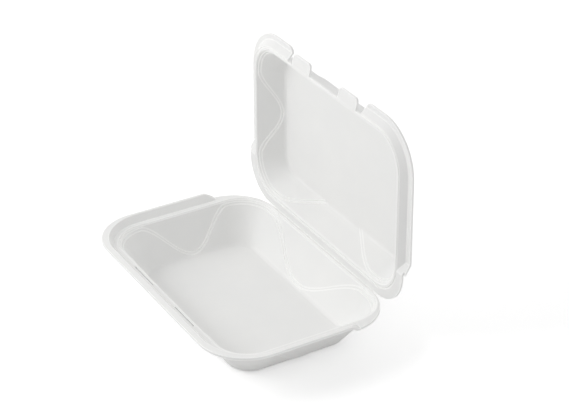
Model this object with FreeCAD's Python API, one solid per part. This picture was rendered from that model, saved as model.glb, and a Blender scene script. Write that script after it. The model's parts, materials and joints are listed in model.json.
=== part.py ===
# Foam clamshell container: a moulded foam tray and a shallower lid that share one crease.
# Millimetres. X runs along the hinge, Y from the front edge to the hinge, Z is up.
# The origin is the centre of the tray's flat bottom. The lid is stored open and upright.

import FreeCAD, Part
import math
import os

os.makedirs("parts", exist_ok=True)

# Foam sheet thickness
TRAY_SHEET = 2.4
LID_SHEET = 1.8

# How far joined solids run into each other, how far cutters run past what they cut, and how close
# two heights are to count as one
OVERLAP = 1.0
OVERSHOOT = 30.0
SAME = 0.01

# Outline shared by tray and lid
HALF_LENGTH = 120.0
OUTLINE_R = 40.0
TRAY_HINGE_R = 40.0
LID_HINGE_R = 33.0
CORNER_HALF_LENGTH = 117.4
HINGE_Y = 74.4
HINGE_GAP = 0.15

# Running gap between the closed lid and the tray
SEAT_GAP = 0.3

# Tray heights
LEDGE_Z = 33.0
RIM_RISE = 5.2
RIM_Z = LEDGE_Z + RIM_RISE
HINGE_Z = LEDGE_Z + SEAT_GAP / 2

# Tray plan sizes, each as half length, front Y, back Y and corner radius
TRAY_FRONT_Y = -81.7
FLOOR = (86.5, -50.4, 50.2, 19.0)
MOUTH = (107.2, -67.8, 71.6, 28.0)
MOUTH_CHAMFER = 0.8
LEDGE_FOOT = (111.8, -72.4, 34.0)
RIM_INNER = (117.6, -76.7, 41.0)
FLOOR_FILLET = 4.0
BOTTOM_FILLET = 6.4

# The raised rim runs down to the flat hinge corners between these Y values
TRAY_RAMP_TOP_Y = 29.6
TRAY_RAMP_FOOT_Y = 38.0

# Lid, closed: its flat face lies at LID_Z, and its plan sizes are measured from the hinge or the bead
LID_Z = LEDGE_Z + SEAT_GAP
LID_FRONT = 155.8
BEAD_HALF_LENGTH = 107.7
BEAD_BACK = 9.0
BEAD_FRONT = 144.2
BEAD_R = 28.0
BEAD_HALF_WIDTH = 1.2
BEAD_CHAMFER = 0.4
GROOVE_WIDTH = 1.3
GROOVE_DEPTH = 0.7
STEP_FOOT_OUT = 1.8
STEP_TOP_OUT = 7.2
STEP_RISE = RIM_RISE
LID_DEPTH = 20.8
PANEL_IN = 13.3
PANEL_IN_FRONT = 11.0
PANEL_R = 20.0
PANEL_FILLET = 3.5
CROWN_FILLET = 5.3
LID_RAMP_TOP_Y = 30.6
LID_RAMP_FOOT_Y = 39.2

# Lock at the front of the lid
LOCK_HALF_LENGTH = 55.0
LOCK_CORNER_R = 6.0
TAB_CENTRE_X = 34.5
TAB_WIDTH = 26.0
TAB_ROOT = 144.8
TAB_TIP = 155.2
TAB_TILT = 2.0
TAB_CORNER_R = 3.5

# Slots in the tray's front ledge, one for each tab
SLOT_LENGTH = TAB_WIDTH + 6.0
SLOT_WIDTH = 1.2
SLOT_Y = -70.6

# The upper part of every wall is pressed outward, down to a soft step that is level along the corners
# and forms an arch on each wall. Each arch has a half width and the distance that its tip keeps from
# the floor or panel that it points to: a tip beyond the panel gives an arch with a flat end.
PRESS_DEPTH = 1.3
STEP_WIDTH = 1.6
STEP_LEVEL = 2.6
# An arch starts this far inside the level part, so that the two meet cleanly
ARCH_LAP = 0.6
TRAY_LONG_ARCH = (74.0, 2.2)
TRAY_END_ARCH = (43.0, 2.0)
LID_LONG_ARCH = (76.0, -7.0)
LID_END_ARCH = (42.0, 1.9)
ARCH_POINTS = 12


def rounded_outline(half_x, front, back, radius, z, back_radius=None):
    """Closed wire of a rounded rectangle, always started at the same corner."""
    rf = radius
    rb = radius if back_radius is None else back_radius
    inset_f = rf * (1 - math.sqrt(0.5))
    inset_b = rb * (1 - math.sqrt(0.5))
    p = [
        FreeCAD.Vector(-half_x + rf, front, z),
        FreeCAD.Vector(half_x - rf, front, z),
        FreeCAD.Vector(half_x, front + rf, z),
        FreeCAD.Vector(half_x, back - rb, z),
        FreeCAD.Vector(half_x - rb, back, z),
        FreeCAD.Vector(-half_x + rb, back, z),
        FreeCAD.Vector(-half_x, back - rb, z),
        FreeCAD.Vector(-half_x, front + rf, z),
    ]
    mid = [
        FreeCAD.Vector(half_x - inset_f, front + inset_f, z),
        FreeCAD.Vector(half_x - inset_b, back - inset_b, z),
        FreeCAD.Vector(-half_x + inset_b, back - inset_b, z),
        FreeCAD.Vector(-half_x + inset_f, front + inset_f, z),
    ]
    edges = [
        Part.makeLine(p[0], p[1]),
        Part.Arc(p[1], mid[0], p[2]).toShape(),
        Part.makeLine(p[2], p[3]),
        Part.Arc(p[3], mid[1], p[4]).toShape(),
        Part.makeLine(p[4], p[5]),
        Part.Arc(p[5], mid[2], p[6]).toShape(),
        Part.makeLine(p[6], p[7]),
        Part.Arc(p[7], mid[3], p[0]).toShape(),
    ]
    return Part.Wire(edges)


def grown(size, grow):
    """Plan size moved outward on every side."""
    half_x, front, back, radius = size
    return (half_x + grow, front - grow, back + grow, radius + grow)


def ring(size, grow, z):
    """Outline of a plan size moved outward on every side."""
    half_x, front, back, radius = grown(size, grow)
    return rounded_outline(half_x, front, back, radius, z)


def frustum(wires):
    """Solid with straight walls between stacked outlines."""
    return Part.makeLoft(wires, True, True)


def prism(wire, height):
    """Solid that stands on an outline."""
    return Part.Face(wire).extrude(FreeCAD.Vector(0, 0, height))


def block(x0, x1, y0, y1, z0, z1):
    """Box between two corners."""
    return Part.makeBox(x1 - x0, y1 - y0, z1 - z0, FreeCAD.Vector(x0, y0, z0))


def between(size_a, size_b, share):
    """Plan size part of the way from one to another."""
    return tuple(a + (b - a) * share for a, b in zip(size_a, size_b))


def fillet_level(solid, z, radius):
    """Round the edges that lie at one height."""
    edges = []
    for edge in solid.Edges:
        box = edge.BoundBox
        if abs(box.ZMin - z) < SAME and abs(box.ZMax - z) < SAME:
            edges.append(edge)
    return solid.makeFillet(radius, edges)


def wall_offset(sheet, size_low, size_high, height):
    """Sideways distance that keeps one sheet of foam square to the mean wall."""
    lean = (size_high[0] - size_low[0]) / height
    return sheet * math.sqrt(1 + lean * lean)


def behind_ramp(top_y, top_z, foot_y, foot_z):
    """Space above and behind a ramp that falls towards the hinge, down to its foot."""
    far_y = HINGE_Y + OVERSHOOT
    high_z = top_z + OVERSHOOT
    points = [
        FreeCAD.Vector(-HALF_LENGTH - OVERSHOOT, top_y, top_z),
        FreeCAD.Vector(-HALF_LENGTH - OVERSHOOT, foot_y, foot_z),
        FreeCAD.Vector(-HALF_LENGTH - OVERSHOOT, far_y, foot_z),
        FreeCAD.Vector(-HALF_LENGTH - OVERSHOOT, far_y, high_z),
        FreeCAD.Vector(-HALF_LENGTH - OVERSHOOT, top_y, high_z),
    ]
    face = Part.Face(Part.makePolygon(points + points[:1]))
    return face.extrude(FreeCAD.Vector(2 * (HALF_LENGTH + OVERSHOOT), 0, 0))


def before_ramp(top_y, top_z, foot_y, foot_z):
    """Space below and in front of the same kind of ramp."""
    near_y = TRAY_FRONT_Y - OVERSHOOT
    points = [
        FreeCAD.Vector(-HALF_LENGTH - OVERSHOOT, top_y, top_z),
        FreeCAD.Vector(-HALF_LENGTH - OVERSHOOT, foot_y, foot_z),
        FreeCAD.Vector(-HALF_LENGTH - OVERSHOOT, near_y, foot_z),
        FreeCAD.Vector(-HALF_LENGTH - OVERSHOOT, near_y, top_z),
    ]
    face = Part.Face(Part.makePolygon(points + points[:1]))
    return face.extrude(FreeCAD.Vector(2 * (HALF_LENGTH + OVERSHOOT), 0, 0))


def arch_zone(base, high, far, centre_y, long_arch, end_arch, reach):
    """Space between the mouth and a line that is level at the corners and arched on each wall.

    The arches point to the floor or panel at height base, high is the level part of the line, and
    far lies beyond the mouth. The space reaches past that line by reach."""
    away = -1.0 if far > high else 1.0
    high_z = high + away * reach
    end_z = high_z - away * ARCH_LAP

    def arch_face(arch, along_x):
        """Flat face bounded by one arch."""
        half_width = arch[0] + reach
        tip = arch[1]
        tip_z = base - away * tip + away * reach
        points = []
        for i in range(ARCH_POINTS + 1):
            s = -1 + 2 * i / ARCH_POINTS
            z = tip_z + (end_z - tip_z) * (1 - math.cos(math.pi * s)) / 2
            if along_x:
                points.append(FreeCAD.Vector(s * half_width, -HALF_LENGTH, z))
            else:
                points.append(FreeCAD.Vector(-HALF_LENGTH, centre_y + s * half_width, z))
        curve = Part.BSplineCurve()
        curve.interpolate(points)
        start = points[0]
        end = points[-1]
        over_start = FreeCAD.Vector(start.x, start.y, far)
        over_end = FreeCAD.Vector(end.x, end.y, far)
        outline = [
            curve.toShape(),
            Part.makeLine(end, over_end),
            Part.makeLine(over_end, over_start),
            Part.makeLine(over_start, start),
        ]
        return Part.Face(Part.Wire(outline))

    long_walls = arch_face(long_arch, True).extrude(FreeCAD.Vector(0, 2 * HALF_LENGTH, 0))
    end_depth = HALF_LENGTH - long_arch[0] - STEP_WIDTH - OVERLAP
    end_wall = arch_face(end_arch, False).extrude(FreeCAD.Vector(end_depth, 0, 0))
    wide = 2 * HALF_LENGTH
    band = block(-wide, wide, -wide, wide, min(high_z, far), max(high_z, far))
    return band.fuse([long_walls] + mirrored(end_wall))


def pressed(walls, base, high, far, centre_y, long_arch, end_arch, shift):
    """Solid whose walls are pressed outward in two small steps.

    walls gives the solid for a sideways distance, and shift moves the steps away from the mouth."""
    args = (base + shift, high + shift, far + shift, centre_y, long_arch, end_arch)
    half_way = walls(-PRESS_DEPTH / 2).common(arch_zone(*args, STEP_WIDTH / 2))
    all_the_way = walls(0).common(arch_zone(*args, -STEP_WIDTH / 2))
    return walls(-PRESS_DEPTH).fuse([half_way, all_the_way])


def mirrored(shape):
    """The shape and its copy on the other side of the middle."""
    return [shape, shape.mirror(FreeCAD.Vector(0, 0, 0), FreeCAD.Vector(1, 0, 0))]


def rim_blank(front, hinge_radius, low, plate_top, high):
    """Solid block for the rim: a slightly shorter plate below and the full length above."""
    back = HINGE_Y - HINGE_GAP
    plate = rounded_outline(CORNER_HALF_LENGTH, front, back, OUTLINE_R, low, hinge_radius)
    full = rounded_outline(HALF_LENGTH, front, back, OUTLINE_R, plate_top, hinge_radius)
    return prism(plate, plate_top - low).fuse(prism(full, high - plate_top))


def rim_plan(half_x, front, radius):
    """Plan size of a rim line, open towards the hinge."""
    return (half_x, front, HINGE_Y + 2 * OVERSHOOT, radius)


def make_tray():
    """Tray: floor, leaning walls, level ledge, raised rim and flat hinge corners."""
    wall_height = LEDGE_Z - TRAY_SHEET
    side = wall_offset(TRAY_SHEET, FLOOR, MOUTH, wall_height)
    under_ledge = between(FLOOR, MOUTH, (LEDGE_Z - 2 * TRAY_SHEET) / wall_height)
    at_ground = between(FLOOR, MOUTH, -TRAY_SHEET / wall_height)
    arch_middle_y = (MOUTH[1] + MOUTH[2]) / 2

    def inside_walls(grow):
        """Hollow of the tray with straight leaning walls."""
        solid = frustum([ring(FLOOR, grow, TRAY_SHEET), ring(MOUTH, grow, LEDGE_Z)])
        return fillet_level(solid, TRAY_SHEET, FLOOR_FILLET)

    def outside_walls(grow):
        """Outside of the tray with straight leaning walls."""
        low = ring(at_ground, grow + side, 0)
        high = ring(under_ledge, grow + side, LEDGE_Z - TRAY_SHEET)
        return fillet_level(frustum([low, high]), 0, BOTTOM_FILLET)

    arches = (
        TRAY_SHEET, LEDGE_Z - STEP_LEVEL, LEDGE_Z + TRAY_SHEET,
        arch_middle_y, TRAY_LONG_ARCH, TRAY_END_ARCH,
    )
    hollow = pressed(inside_walls, *arches, 0)
    mouth_edge = frustum([
        ring(MOUTH, 0, LEDGE_Z - MOUTH_CHAMFER),
        ring(MOUTH, MOUTH_CHAMFER, LEDGE_Z),
        ring(MOUTH, MOUTH_CHAMFER, LEDGE_Z + TRAY_SHEET),
    ])
    outside = pressed(outside_walls, *arches, -TRAY_SHEET)

    top = rim_blank(TRAY_FRONT_Y, TRAY_HINGE_R, LEDGE_Z - TRAY_SHEET, LEDGE_Z, RIM_Z)
    foot = rim_plan(*LEDGE_FOOT)
    inner = rim_plan(*RIM_INNER)
    rim_side = wall_offset(TRAY_SHEET, foot, inner, RIM_RISE)
    above = frustum([ring(foot, 0, LEDGE_Z), ring(inner, 0, RIM_Z)])
    behind = behind_ramp(TRAY_RAMP_TOP_Y, RIM_Z, TRAY_RAMP_FOOT_Y, LEDGE_Z)
    top = top.cut([above, behind])

    drop = TRAY_SHEET / RIM_RISE
    foot_under = between(foot, inner, -drop)
    inner_under = between(foot, inner, 1 - drop)
    below = prism(ring(inner_under, OVERSHOOT, LEDGE_Z - TRAY_SHEET), RIM_RISE)
    below = below.cut(frustum([
        ring(foot_under, rim_side, LEDGE_Z - TRAY_SHEET),
        ring(inner_under, rim_side, RIM_Z - TRAY_SHEET),
    ]))
    fall = RIM_RISE / (TRAY_RAMP_FOOT_Y - TRAY_RAMP_TOP_Y)
    shift = TRAY_SHEET * (math.sqrt(1 + fall * fall) - 1) / fall
    below = below.common(before_ramp(
        TRAY_RAMP_TOP_Y - shift, RIM_Z - TRAY_SHEET, TRAY_RAMP_FOOT_Y - shift, LEDGE_Z - TRAY_SHEET
    ))
    top = top.cut(below)

    tray = top.fuse(outside).cut([hollow, mouth_edge])
    slot = block(
        TAB_CENTRE_X - SLOT_LENGTH / 2, TAB_CENTRE_X + SLOT_LENGTH / 2,
        SLOT_Y - SLOT_WIDTH / 2, SLOT_Y + SLOT_WIDTH / 2,
        LEDGE_Z - 2 * TRAY_SHEET, LEDGE_Z + TRAY_SHEET,
    )
    return tray.cut(mirrored(slot)).removeSplitter()


def make_closed_lid():
    """Lid in its closed place: panel, leaning walls, bead, outward step, flange and lock tabs."""
    flange_z = LID_Z + STEP_RISE
    panel_z = LID_Z + LID_DEPTH
    bead = (BEAD_HALF_LENGTH, HINGE_Y - BEAD_FRONT, HINGE_Y - BEAD_BACK, BEAD_R)
    opening = grown(bead, -BEAD_HALF_WIDTH)
    panel = (bead[0] - PANEL_IN, bead[1] + PANEL_IN_FRONT, bead[2] - PANEL_IN, PANEL_R)
    side = wall_offset(LID_SHEET, panel, opening, LID_DEPTH)
    over_plate = between(opening, panel, LID_SHEET / LID_DEPTH)
    over_panel = between(opening, panel, 1 + LID_SHEET / LID_DEPTH)
    arch_middle_y = (opening[1] + opening[2]) / 2

    def inside_walls(grow):
        """Hollow of the lid with straight leaning walls."""
        solid = frustum([ring(opening, grow, LID_Z), ring(panel, grow, panel_z)])
        return fillet_level(solid, panel_z, PANEL_FILLET)

    def outside_walls(grow):
        """Outside of the lid with straight leaning walls."""
        low = ring(over_plate, grow + side, LID_Z + LID_SHEET)
        high = ring(over_panel, grow + side, panel_z + LID_SHEET)
        return fillet_level(frustum([low, high]), panel_z + LID_SHEET, CROWN_FILLET)

    arches = (
        panel_z, LID_Z + STEP_LEVEL, LID_Z - LID_SHEET,
        arch_middle_y, LID_LONG_ARCH, LID_END_ARCH,
    )
    hollow = pressed(inside_walls, *arches, 0)
    mouth_edge = frustum([
        ring(opening, BEAD_CHAMFER, LID_Z),
        ring(opening, 0, LID_Z + BEAD_CHAMFER),
    ])
    outside = pressed(outside_walls, *arches, LID_SHEET)

    top = rim_blank(HINGE_Y - LID_FRONT, LID_HINGE_R, LID_Z, LID_Z + LID_SHEET, flange_z + LID_SHEET)
    foot = rim_plan(bead[0] + STEP_FOOT_OUT, bead[1] - STEP_FOOT_OUT, BEAD_R + STEP_FOOT_OUT)
    step = rim_plan(bead[0] + STEP_TOP_OUT, bead[1] - STEP_TOP_OUT, BEAD_R + STEP_TOP_OUT)
    step_side = wall_offset(LID_SHEET, foot, step, STEP_RISE)
    foot_over = between(foot, step, LID_SHEET / STEP_RISE)
    step_over = between(foot, step, 1 + LID_SHEET / STEP_RISE)
    above = frustum([
        ring(foot_over, -step_side, LID_Z + LID_SHEET),
        ring(step_over, -step_side, flange_z + LID_SHEET),
    ])
    fall = STEP_RISE / (LID_RAMP_FOOT_Y - LID_RAMP_TOP_Y)
    shift = LID_SHEET * (math.sqrt(1 + fall * fall) - 1) / fall
    behind = behind_ramp(
        LID_RAMP_TOP_Y + shift, flange_z + LID_SHEET, LID_RAMP_FOOT_Y + shift, LID_Z + LID_SHEET
    )
    top = top.cut([above, behind])
    below = prism(ring(step, OVERSHOOT, LID_Z), STEP_RISE)
    below = below.cut(frustum([ring(foot, 0, LID_Z), ring(step, 0, flange_z)]))
    below = below.common(before_ramp(LID_RAMP_TOP_Y, flange_z, LID_RAMP_FOOT_Y, LID_Z))
    top = top.cut(below)

    groove = frustum([
        ring(bead, BEAD_HALF_WIDTH + GROOVE_WIDTH, LID_Z),
        ring(bead, BEAD_HALF_WIDTH + GROOVE_WIDTH - GROOVE_DEPTH, LID_Z + GROOVE_DEPTH),
    ])
    groove = groove.cut(frustum([
        ring(bead, BEAD_HALF_WIDTH - BEAD_CHAMFER, LID_Z),
        ring(bead, BEAD_HALF_WIDTH, LID_Z + BEAD_CHAMFER),
        ring(bead, BEAD_HALF_WIDTH, LID_Z + GROOVE_DEPTH),
    ]))
    lid = top.fuse(outside).cut([hollow, mouth_edge, groove])
    return add_lock(lid, flange_z, bead)


def add_lock(lid, flange_z, bead):
    """Cut the flange away at the front and add the two tabs."""
    wall_y = bead[1] - BEAD_HALF_WIDTH
    cutter = block(
        -LOCK_HALF_LENGTH, LOCK_HALF_LENGTH, TRAY_FRONT_Y - OVERSHOOT, wall_y,
        LID_Z - LID_SHEET, flange_z + 2 * LID_SHEET,
    )
    corner_x = LOCK_HALF_LENGTH
    corner_y = HINGE_Y - LID_FRONT
    corner = block(
        corner_x - OVERLAP, corner_x + LOCK_CORNER_R, corner_y - OVERLAP, corner_y + LOCK_CORNER_R,
        LID_Z, flange_z + 2 * LID_SHEET,
    )
    corner = corner.cut(Part.makeCylinder(
        LOCK_CORNER_R, OVERSHOOT,
        FreeCAD.Vector(corner_x + LOCK_CORNER_R, corner_y + LOCK_CORNER_R, LID_Z - OVERLAP),
    ))
    lid = lid.cut([cutter] + mirrored(corner))
    root_y = HINGE_Y - TAB_ROOT
    tip_y = HINGE_Y - TAB_TIP
    profile = [
        FreeCAD.Vector(TAB_CENTRE_X - TAB_WIDTH / 2, root_y, LID_Z),
        FreeCAD.Vector(TAB_CENTRE_X - TAB_WIDTH / 2, tip_y, LID_Z + TAB_TILT),
        FreeCAD.Vector(TAB_CENTRE_X - TAB_WIDTH / 2, tip_y, LID_Z + TAB_TILT + LID_SHEET),
        FreeCAD.Vector(TAB_CENTRE_X - TAB_WIDTH / 2, root_y, LID_Z + LID_SHEET),
    ]
    tab = Part.Face(Part.makePolygon(profile + profile[:1])).extrude(FreeCAD.Vector(TAB_WIDTH, 0, 0))
    tip_edges = []
    for edge in tab.Edges:
        box = edge.BoundBox
        if box.YMax < tip_y + SAME and box.XLength < SAME:
            tip_edges.append(edge)
    tab = tab.makeFillet(TAB_CORNER_R, tip_edges)
    return lid.fuse(mirrored(tab)).removeSplitter()


def main():
    """Write one file for each moving piece, in the stored pose."""
    tray = make_tray()
    lid = make_closed_lid()
    lid.rotate(FreeCAD.Vector(0, HINGE_Y, HINGE_Z), FreeCAD.Vector(1, 0, 0), -90)
    for name, shape in (("base_tray", tray), ("lid", lid)):
        print(name, shape.ShapeType, len(shape.Solids), shape.isValid(), round(shape.Volume), shape.BoundBox)
        shape.exportStep("parts/" + name + ".step")


main()
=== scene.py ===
# Look of the foam clamshell container: white expanded foam, soft studio light, pale floor.
import json
import math

import bpy
from mathutils import Matrix, Vector


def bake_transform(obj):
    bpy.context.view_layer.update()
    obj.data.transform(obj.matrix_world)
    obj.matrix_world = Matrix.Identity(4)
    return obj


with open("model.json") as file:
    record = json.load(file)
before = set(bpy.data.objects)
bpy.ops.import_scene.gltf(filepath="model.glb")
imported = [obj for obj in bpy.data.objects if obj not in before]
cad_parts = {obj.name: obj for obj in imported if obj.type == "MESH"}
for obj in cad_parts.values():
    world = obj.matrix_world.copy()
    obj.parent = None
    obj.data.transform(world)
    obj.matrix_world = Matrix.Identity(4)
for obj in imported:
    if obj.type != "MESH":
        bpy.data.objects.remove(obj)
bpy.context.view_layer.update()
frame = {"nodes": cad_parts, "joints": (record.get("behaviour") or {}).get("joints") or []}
scene = bpy.context.scene

# The hinge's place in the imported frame, in metres like every size below
HINGE_Y, HINGE_Z = frame["joints"][0]["pos_m"][1:]
HINGE_GAP = 0.00015

# Rounding of the moulded parts' edges
ROUND_WIDTH = 0.0005
ROUND_SEGMENTS = 2
ROUND_ANGLE = 28

# Strip over the hinge crease: it runs up the tray's back edge, bends around the hinge and runs on under
# the lid's lower edge. It is sunk into both edges by CREASE_SINK and bends CREASE_LEAD from their corners.
CREASE_HALF_LENGTH = 0.0775
CREASE_THICK = 0.00012
CREASE_REACH = 0.001
CREASE_LEAD = 0.0001
CREASE_SINK = 0.00002
CREASE_ARC_START = -115
CREASE_ARC_SWEEP = 140
CREASE_ARC_STEPS = 10
CREASE_LENGTH_STEPS = 60

# Foam: the colours between which the faint mottling varies, and the painted highlight, a lighter colour
# along pressed edges
FOAM_DARK = (0.833, 0.834, 0.827, 1.0)
FOAM_LIGHT = (0.862, 0.861, 0.849, 1.0)
EDGE_HIGHLIGHT_COLOUR = (0.962, 0.961, 0.95, 1.0)
MOTTLE_STOPS = (0.3, 0.7)
EDGE_REACH = 0.0013
EDGE_SAMPLES = 6
# How alike a rounded and a plain normal are where the painted highlight starts to show and where it is
# full
EDGE_START = 0.998
EDGE_FULL = 0.985
# Foam texture: how many cells, fine grains and broad patches fit in a metre, roughly
CELL_SCALE = 900.0
FINE_SCALE = 260.0
BROAD_SCALE = 16.0
NOISE_DETAIL = 3.0
BROAD_ROUGHNESS = 0.55
FOAM_ROUGHNESS = (0.52, 0.68)
FOAM_IOR = 1.45
FOAM_SPECULAR = 0.35
FOAM_SHEEN = 0.05
# Relief, each as strength and depth
BROAD_RELIEF = (0.25, 0.0012)
CELL_RELIEF = (0.35, 0.00012)

# Floor
FLOOR_HALF_SIZE = 6.0
FLOOR_DROP = 0.0004
FLOOR_COLOUR = (0.88, 0.88, 0.88, 1.0)
FLOOR_ROUGHNESS = 0.9
FLOOR_LIFT = 0.35

# Light: the sky's soft lobes, each with a direction, the cosine where it starts and its strength, and
# one lamp
SKY_LOBES = (
    ((-1.0, 0.0, 0.0), 0.0, 1.02),
    ((1.0, 0.0, 0.0), 0.0, 0.78),
    ((0.0, 1.0, 0.0), 0.0, 0.51),
    ((0.0, 0.0, 1.0), 0.3, 0.46),
)
KEY_PLACE = (-0.9, -1.5, 1.1)
KEY_TARGET = (0, 0, 0.05)
KEY_SIZE = 1.2
KEY_POWER = 18.7

# Camera: angles in degrees, its place as distances along its own axes from a point under the tray,
# and lens and sensor in millimetres
CAMERA_AZIMUTH = 59.779
CAMERA_ELEVATION = 30.038
CAMERA_ROLL = -0.288
CAMERA_DISTANCE = 1.539696
CAMERA_SHIFT_RIGHT = 0.029295
CAMERA_SHIFT_UP = 0.077334
CAMERA_AIM = (0, 0.00525, 0)
CAMERA_LENS = 119.9
CAMERA_SENSOR = 36.0
CAMERA_NEAR = 0.05


def new_material(name):
    """Empty node material with its output and principled shader."""
    mat = bpy.data.materials.new(name)
    mat.use_nodes = True
    tree = mat.node_tree
    tree.nodes.clear()
    out = tree.nodes.new("ShaderNodeOutputMaterial")
    shader = tree.nodes.new("ShaderNodeBsdfPrincipled")
    tree.links.new(shader.outputs["BSDF"], out.inputs["Surface"])
    return mat, tree, shader


def add_noise(tree, coord, scale):
    """Noise that stays with the object."""
    noise = tree.nodes.new("ShaderNodeTexNoise")
    noise.inputs["Scale"].default_value = scale
    noise.inputs["Detail"].default_value = NOISE_DETAIL
    tree.links.new(coord.outputs["Object"], noise.inputs["Vector"])
    return noise


def add_relief(tree, relief, height):
    """Shallow relief from a height."""
    bump = tree.nodes.new("ShaderNodeBump")
    bump.inputs["Strength"].default_value = relief[0]
    bump.inputs["Distance"].default_value = relief[1]
    tree.links.new(height, bump.inputs["Height"])
    return bump


def painted_highlight_share(tree):
    """Mask of the painted highlight: 1 on small edges, 0 on plain walls, where the rounded normal leaves
    the plain one.
    """
    plain = tree.nodes.new("ShaderNodeNewGeometry")
    rounded = tree.nodes.new("ShaderNodeBevel")
    rounded.samples = EDGE_SAMPLES
    rounded.inputs["Radius"].default_value = EDGE_REACH
    level = tree.nodes.new("ShaderNodeVectorMath")
    level.operation = "DOT_PRODUCT"
    tree.links.new(plain.outputs["Normal"], level.inputs[0])
    tree.links.new(rounded.outputs["Normal"], level.inputs[1])
    share = tree.nodes.new("ShaderNodeMapRange")
    share.inputs["From Min"].default_value = EDGE_START
    share.inputs["From Max"].default_value = EDGE_FULL
    tree.links.new(level.outputs["Value"], share.inputs["Value"])
    return share.outputs["Result"]


def foam_material():
    """White foam sheet: fused bead cells, a faint mottling, and a painted highlight, lighter colour along
    pressed edges.
    """
    mat, tree, shader = new_material("foam")
    nodes = tree.nodes
    links = tree.links
    coord = nodes.new("ShaderNodeTexCoord")
    cells = nodes.new("ShaderNodeTexVoronoi")
    cells.feature = "F1"
    cells.inputs["Scale"].default_value = CELL_SCALE
    cells.inputs["Randomness"].default_value = 1.0
    links.new(coord.outputs["Object"], cells.inputs["Vector"])
    fine = add_noise(tree, coord, FINE_SCALE)
    broad = add_noise(tree, coord, BROAD_SCALE)
    broad.inputs["Roughness"].default_value = BROAD_ROUGHNESS

    tint = nodes.new("ShaderNodeValToRGB")
    for stop, place, colour in zip(tint.color_ramp.elements, MOTTLE_STOPS, (FOAM_DARK, FOAM_LIGHT)):
        stop.position = place
        stop.color = colour
    links.new(broad.outputs["Fac"], tint.inputs["Fac"])
    # Painted highlight: a lighter colour is mixed into the foam along small edges, where light would catch
    # them
    edge_highlight = nodes.new("ShaderNodeMix")
    edge_highlight.data_type = "RGBA"
    edge_highlight.inputs[7].default_value = EDGE_HIGHLIGHT_COLOUR
    links.new(painted_highlight_share(tree), edge_highlight.inputs[0])
    links.new(tint.outputs["Color"], edge_highlight.inputs[6])
    links.new(edge_highlight.outputs[2], shader.inputs["Base Color"])

    rough = nodes.new("ShaderNodeMapRange")
    rough.inputs["To Min"].default_value = FOAM_ROUGHNESS[0]
    rough.inputs["To Max"].default_value = FOAM_ROUGHNESS[1]
    links.new(fine.outputs["Fac"], rough.inputs["Value"])
    links.new(rough.outputs["Result"], shader.inputs["Roughness"])
    shader.inputs["IOR"].default_value = FOAM_IOR
    shader.inputs["Specular IOR Level"].default_value = FOAM_SPECULAR
    shader.inputs["Sheen Weight"].default_value = FOAM_SHEEN

    low_bump = add_relief(tree, BROAD_RELIEF, broad.outputs["Fac"])
    cell_bump = add_relief(tree, CELL_RELIEF, cells.outputs["Distance"])
    links.new(low_bump.outputs["Normal"], cell_bump.inputs["Normal"])
    links.new(cell_bump.outputs["Normal"], shader.inputs["Normal"])
    return mat


def dress_nodes(mat):
    """Foam on the moulded parts, with their edges slightly rounded."""
    for obj in frame["nodes"].values():
        obj.data.materials.clear()
        obj.data.materials.append(mat)
        bevel = obj.modifiers.new("soft_edges", "BEVEL")
        bevel.limit_method = "ANGLE"
        bevel.angle_limit = math.radians(ROUND_ANGLE)
        bevel.width = ROUND_WIDTH
        bevel.segments = ROUND_SEGMENTS
        bevel.harden_normals = False


def crease_section():
    """Closed outline of the crease strip in the plane across the hinge, as (y, z) points."""
    tray_y = HINGE_Y - HINGE_GAP - CREASE_SINK
    tray_z = HINGE_Z - HINGE_GAP
    lid_y = HINGE_Y + HINGE_GAP
    lid_z = HINGE_Z + HINGE_GAP + CREASE_SINK
    radius = HINGE_GAP * math.sqrt(2)
    path = [
        (tray_y, tray_z - CREASE_REACH, 1.0, 0.0),
        (tray_y, tray_z - CREASE_LEAD, 1.0, 0.0),
    ]
    for i in range(CREASE_ARC_STEPS + 1):
        angle = math.radians(CREASE_ARC_START + CREASE_ARC_SWEEP * i / CREASE_ARC_STEPS)
        out_y = math.cos(angle)
        out_z = math.sin(angle)
        path.append((HINGE_Y + radius * out_y, HINGE_Z + radius * out_z, out_y, out_z))
    path.append((lid_y + CREASE_LEAD, lid_z, 0.0, -1.0))
    path.append((lid_y + CREASE_REACH, lid_z, 0.0, -1.0))
    inner = [(y, z) for y, z, out_y, out_z in path]
    outer = [(y + CREASE_THICK * out_y, z + CREASE_THICK * out_z) for y, z, out_y, out_z in path]
    return inner + outer[::-1]


def add_crease(mat):
    """Thin pressed skin of foam that joins the tray's back edge to the lid's lower edge."""
    section = crease_section()
    verts = []
    for i in range(CREASE_LENGTH_STEPS + 1):
        x = CREASE_HALF_LENGTH * (2 * i / CREASE_LENGTH_STEPS - 1)
        verts += [(x, y, z) for y, z in section]
    count = len(section)
    faces = [tuple(range(count)), tuple(range(len(verts) - 1, len(verts) - 1 - count, -1))]
    for i in range(CREASE_LENGTH_STEPS):
        for j in range(count):
            k = (j + 1) % count
            faces.append((i * count + k, i * count + j, (i + 1) * count + j, (i + 1) * count + k))
    mesh = bpy.data.meshes.new("hinge_crease")
    mesh.from_pydata(verts, [], faces)
    mesh.materials.append(mat)
    obj = bpy.data.objects.new("hinge_crease", mesh)
    scene.collection.objects.link(obj)
    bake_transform(obj)


def camera_share(tree):
    """1 for camera, glossy and transmission rays, 0 for the light that falls on the object."""
    path = tree.nodes.new("ShaderNodeLightPath")
    first = tree.nodes.new("ShaderNodeMath")
    first.operation = "MAXIMUM"
    second = tree.nodes.new("ShaderNodeMath")
    second.operation = "MAXIMUM"
    tree.links.new(path.outputs["Is Camera Ray"], first.inputs[0])
    tree.links.new(path.outputs["Is Glossy Ray"], first.inputs[1])
    tree.links.new(first.outputs[0], second.inputs[0])
    tree.links.new(path.outputs["Is Transmission Ray"], second.inputs[1])
    return second.outputs[0]


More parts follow.
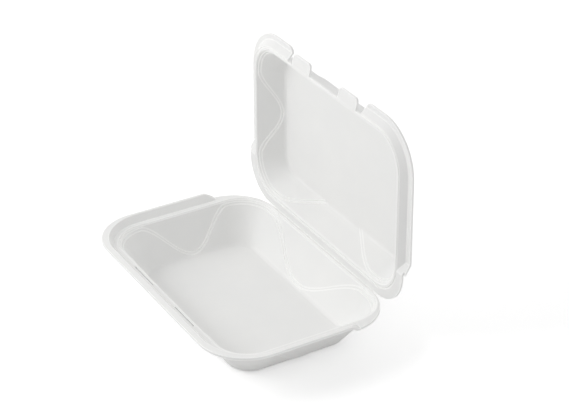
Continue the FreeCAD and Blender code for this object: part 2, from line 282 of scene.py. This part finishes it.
def floor_material():
    """Pale floor that shows as white to the camera where no shadow falls."""
    mat, tree, shader = new_material("floor")
    shader.inputs["Base Color"].default_value = FLOOR_COLOUR
    shader.inputs["Roughness"].default_value = FLOOR_ROUGHNESS
    shader.inputs["Specular IOR Level"].default_value = 0.0
    shader.inputs["Emission Color"].default_value = (1.0, 1.0, 1.0, 1.0)
    lift = tree.nodes.new("ShaderNodeMath")
    lift.operation = "MULTIPLY"
    lift.inputs[1].default_value = FLOOR_LIFT
    tree.links.new(camera_share(tree), lift.inputs[0])
    tree.links.new(lift.outputs[0], shader.inputs["Emission Strength"])
    return mat


def add_floor():
    """Large flat floor under the object."""
    mesh = bpy.data.meshes.new("floor")
    size = FLOOR_HALF_SIZE
    corners = [(-size, -size, 0), (size, -size, 0), (size, size, 0), (-size, size, 0)]
    mesh.from_pydata(corners, [], [(0, 1, 2, 3)])
    obj = bpy.data.objects.new("floor", mesh)
    obj.location = (0, 0, -FLOOR_DROP)
    mesh.materials.append(floor_material())
    scene.collection.objects.link(obj)


def sky_lobe(tree, coord, direction, start, strength):
    """Soft light that grows towards one direction."""
    facing = tree.nodes.new("ShaderNodeVectorMath")
    facing.operation = "DOT_PRODUCT"
    facing.inputs[1].default_value = direction
    tree.links.new(coord.outputs["Generated"], facing.inputs[0])
    lobe = tree.nodes.new("ShaderNodeMapRange")
    lobe.interpolation_type = "SMOOTHSTEP"
    lobe.inputs["From Min"].default_value = start
    lobe.inputs["From Max"].default_value = 1.0
    lobe.inputs["To Min"].default_value = 0.0
    lobe.inputs["To Max"].default_value = strength
    tree.links.new(facing.outputs["Value"], lobe.inputs["Value"])
    return lobe.outputs["Result"]


def add_world():
    """White to the camera and to reflections; for the object, soft light from a few wide lobes."""
    world = bpy.data.worlds.new("studio")
    scene.world = world
    world.use_nodes = True
    tree = world.node_tree
    tree.nodes.clear()
    out = tree.nodes.new("ShaderNodeOutputWorld")
    coord = tree.nodes.new("ShaderNodeTexCoord")
    total = sky_lobe(tree, coord, *SKY_LOBES[0])
    for lobe in SKY_LOBES[1:]:
        add = tree.nodes.new("ShaderNodeMath")
        add.operation = "ADD"
        tree.links.new(total, add.inputs[0])
        tree.links.new(sky_lobe(tree, coord, *lobe), add.inputs[1])
        total = add.outputs[0]
    light = tree.nodes.new("ShaderNodeBackground")
    light.inputs["Color"].default_value = (1, 1, 1, 1)
    tree.links.new(total, light.inputs["Strength"])
    white = tree.nodes.new("ShaderNodeBackground")
    white.inputs["Color"].default_value = (1, 1, 1, 1)
    white.inputs["Strength"].default_value = 1.0
    mix = tree.nodes.new("ShaderNodeMixShader")
    tree.links.new(camera_share(tree), mix.inputs["Fac"])
    tree.links.new(light.outputs["Background"], mix.inputs[1])
    tree.links.new(white.outputs["Background"], mix.inputs[2])
    tree.links.new(mix.outputs["Shader"], out.inputs["Surface"])


def add_key():
    """Square area lamp in front of the tray, beyond its far end and above."""
    data = bpy.data.lights.new("key", "AREA")
    data.shape = "SQUARE"
    data.size = KEY_SIZE
    data.energy = KEY_POWER
    obj = bpy.data.objects.new("key", data)
    obj.location = KEY_PLACE
    direction = Vector(KEY_TARGET) - Vector(KEY_PLACE)
    obj.rotation_euler = direction.to_track_quat("-Z", "Y").to_euler()
    scene.collection.objects.link(obj)


def add_camera():
    """Camera at the photograph's place and angle."""
    azimuth = math.radians(CAMERA_AZIMUTH)
    elevation = math.radians(CAMERA_ELEVATION)
    roll = math.radians(CAMERA_ROLL)
    back = Vector((
        math.sin(azimuth) * math.cos(elevation),
        -math.cos(azimuth) * math.cos(elevation),
        math.sin(elevation),
    ))
    right = Vector((math.cos(azimuth), math.sin(azimuth), 0))
    up = back.cross(right)
    right_rolled = right * math.cos(roll) + up * math.sin(roll)
    up_rolled = up * math.cos(roll) - right * math.sin(roll)
    place = back * CAMERA_DISTANCE + right_rolled * CAMERA_SHIFT_RIGHT + up_rolled * CAMERA_SHIFT_UP
    data = bpy.data.cameras.new("camera")
    data.lens = CAMERA_LENS
    data.sensor_width = CAMERA_SENSOR
    data.clip_start = CAMERA_NEAR
    obj = bpy.data.objects.new("camera", data)
    matrix = Matrix((right_rolled, up_rolled, back)).transposed().to_4x4()
    matrix.translation = place + Vector(CAMERA_AIM)
    obj.matrix_world = matrix
    scene.collection.objects.link(obj)
    scene.camera = obj


add_camera()
foam = foam_material()
dress_nodes(foam)
add_crease(foam)
add_floor()
add_world()
add_key()

scene.view_settings.view_transform = "Standard"
